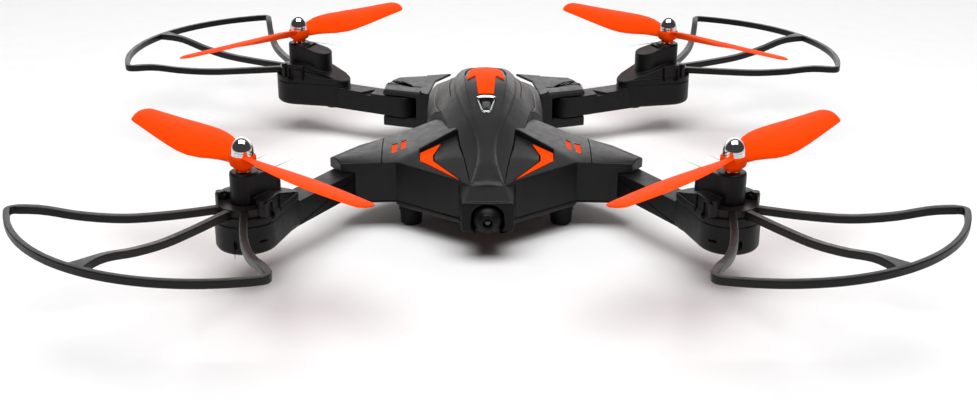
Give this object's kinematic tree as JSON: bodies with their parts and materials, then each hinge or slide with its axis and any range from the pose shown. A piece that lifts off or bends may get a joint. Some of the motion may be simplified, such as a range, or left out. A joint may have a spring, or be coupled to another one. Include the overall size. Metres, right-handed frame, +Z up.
{
  "type": "folding camera drone",
  "caption": "Folding four-rotor camera drone with prop guards, tilting nose camera, slide-out battery and geared propeller drives.",
  "frame": {"origin": "on the ground under the middle of the aircraft, standing on its four feet", "axes": "+Z up, nose towards -Y, +X to the side that is on the right when facing the nose"},
  "size_m": [0.3604, 0.3586, 0.0586],
  "materials": {
    "shell_plastic": "fine satin grain, graphite",
    "hood_plastic": "satin, graphite",
    "black_plastic": "satin black",
    "arm_plastic": "fine grain black",
    "guard_plastic": "satin black, slightly flexible",
    "orange_trim": "satin orange",
    "prop_plastic": "satin orange",
    "chrome": "polished",
    "steel": "ground",
    "brass": "turned",
    "gear_nylon": "natural nylon",
    "motor_can": "drawn can",
    "circuit_board": "solder mask",
    "battery_wrap": "shrink wrap",
    "button_plastic": "polished smoke lens",
    "foot_rubber": "matt",
    "lens_glass": "coated"
  },
  "bodies": {
    "body": {"upper_shell": "shell_plastic", "lower_shell": "shell_plastic", "spine_hood": "hood_plastic", "hood_inlay": "orange_trim", "chevron_inlays": "orange_trim", "wing_vent_inlays": "orange_trim", "nose_housing": "black_plastic", "button_bezel": "chrome", "button_switch": "circuit_board", "rear_clevis_left": "shell_plastic", "rear_clevis_right": "shell_plastic", "hinge_pins": "steel", "shell_screws": "steel", "landing_feet": "foot_rubber", "flight_board": "circuit_board"},
    "camera": {"camera_barrel": "black_plastic", "camera_lens": "lens_glass", "camera_board": "circuit_board"},
    "button": {"power_button": "button_plastic"},
    "battery": {"battery_pack": "battery_wrap", "battery_cap": "shell_plastic"},
    "arm_front_left": {"arm_shell_front_left": "arm_plastic", "motor_cover_front_left": "arm_plastic", "prop_guard_front_left": "guard_plastic", "motor_front_left": "motor_can", "shaft_bushes_front_left": "brass"},
    "rotor_front_left": {"propeller_front_left": "prop_plastic", "spinner_front_left": "chrome", "drive_gear_front_left": "gear_nylon"},
    "pinion_front_left": {"motor_pinion_front_left": "brass"},
    "arm_front_right": {"arm_shell_front_right": "arm_plastic", "motor_cover_front_right": "arm_plastic", "prop_guard_front_right": "guard_plastic", "motor_front_right": "motor_can", "shaft_bushes_front_right": "brass"},
    "rotor_front_right": {"propeller_front_right": "prop_plastic", "spinner_front_right": "chrome", "drive_gear_front_right": "gear_nylon"},
    "pinion_front_right": {"motor_pinion_front_right": "brass"},
    "arm_rear_left": {"arm_shell_rear_left": "arm_plastic", "motor_cover_rear_left": "arm_plastic", "prop_guard_rear_left": "guard_plastic", "motor_rear_left": "motor_can", "shaft_bushes_rear_left": "brass"},
    "rotor_rear_left": {"propeller_rear_left": "prop_plastic", "spinner_rear_left": "chrome", "drive_gear_rear_left": "gear_nylon"},
    "pinion_rear_left": {"motor_pinion_rear_left": "brass"},
    "arm_rear_right": {"arm_shell_rear_right": "arm_plastic", "motor_cover_rear_right": "arm_plastic", "prop_guard_rear_right": "guard_plastic", "motor_rear_right": "motor_can", "shaft_bushes_rear_right": "brass"},
    "rotor_rear_right": {"propeller_rear_right": "prop_plastic", "spinner_rear_right": "chrome", "drive_gear_rear_right": "gear_nylon"},
    "pinion_rear_right": {"motor_pinion_rear_right": "brass"}
  },
  "joints": [
    {"name": "camera_tilt", "type": "hinge", "parent": "body", "child": "camera", "pos_m": [0, -0.0725, 0.0174], "axis": [1, 0, 0], "range_deg": [-20, 50]},
    {"name": "button_press", "type": "slide", "parent": "body", "child": "button", "axis": [0, 0.1805, -0.9836], "range_m": [0, 0.0006], "stiffness_N_per_m": 500},
    {"name": "battery_slide", "type": "slide", "parent": "body", "child": "battery", "axis": [0, 1, 0], "range_m": [0, 0.066]},
    {"name": "fold_front_left", "type": "hinge", "parent": "body", "child": "arm_front_left", "pos_m": [-0.0528, -0.0276, 0.0204], "axis": [0, 0, -1], "range_deg": [0, 70]},
    {"name": "spin_front_left", "type": "hinge", "parent": "arm_front_left", "child": "rotor_front_left", "pos_m": [-0.0918, -0.0944, 0.045], "axis": [0, 0, 1], "continuous": true},
    {"name": "pinion_spin_front_left", "type": "hinge", "parent": "arm_front_left", "child": "pinion_front_left", "pos_m": [-0.08575, -0.08404, 0.021], "axis": [0, 0, 1], "continuous": true},
    {"name": "fold_front_right", "type": "hinge", "parent": "body", "child": "arm_front_right", "pos_m": [0.0528, -0.0276, 0.0204], "axis": [0, 0, 1], "range_deg": [0, 70]},
    {"name": "spin_front_right", "type": "hinge", "parent": "arm_front_right", "child": "rotor_front_right", "pos_m": [0.0918, -0.0944, 0.045], "axis": [0, 0, 1], "continuous": true},
    {"name": "pinion_spin_front_right", "type": "hinge", "parent": "arm_front_right", "child": "pinion_front_right", "pos_m": [0.08575, -0.08404, 0.021], "axis": [0, 0, 1], "continuous": true},
    {"name": "fold_rear_left", "type": "hinge", "parent": "body", "child": "arm_rear_left", "pos_m": [-0.0395, 0.069, 0.0204], "axis": [0, 0, -1], "range_deg": [-80, 0]},
    {"name": "spin_rear_left", "type": "hinge", "parent": "arm_rear_left", "child": "rotor_rear_left", "pos_m": [-0.0933, 0.0958, 0.045], "axis": [0, 0, 1], "continuous": true},
    {"name": "pinion_spin_rear_left", "type": "hinge", "parent": "arm_rear_left", "child": "pinion_rear_left", "pos_m": [-0.08256, 0.09045, 0.021], "axis": [0, 0, 1], "continuous": true},
    {"name": "fold_rear_right", "type": "hinge", "parent": "body", "child": "arm_rear_right", "pos_m": [0.0395, 0.069, 0.0204], "axis": [0, 0, 1], "range_deg": [-80, 0]},
    {"name": "spin_rear_right", "type": "hinge", "parent": "arm_rear_right", "child": "rotor_rear_right", "pos_m": [0.0933, 0.0958, 0.045], "axis": [0, 0, 1], "continuous": true},
    {"name": "pinion_spin_rear_right", "type": "hinge", "parent": "arm_rear_right", "child": "pinion_rear_right", "pos_m": [0.08256, 0.09045, 0.021], "axis": [0, 0, 1], "continuous": true}
  ],
  "couplings": [
    {"joint": "pinion_spin_front_left", "follows": "spin_front_left", "ratio": -4},
    {"joint": "pinion_spin_front_right", "follows": "spin_front_right", "ratio": -4},
    {"joint": "pinion_spin_rear_left", "follows": "spin_rear_left", "ratio": -4},
    {"joint": "pinion_spin_rear_right", "follows": "spin_rear_right", "ratio": -4}
  ]
}
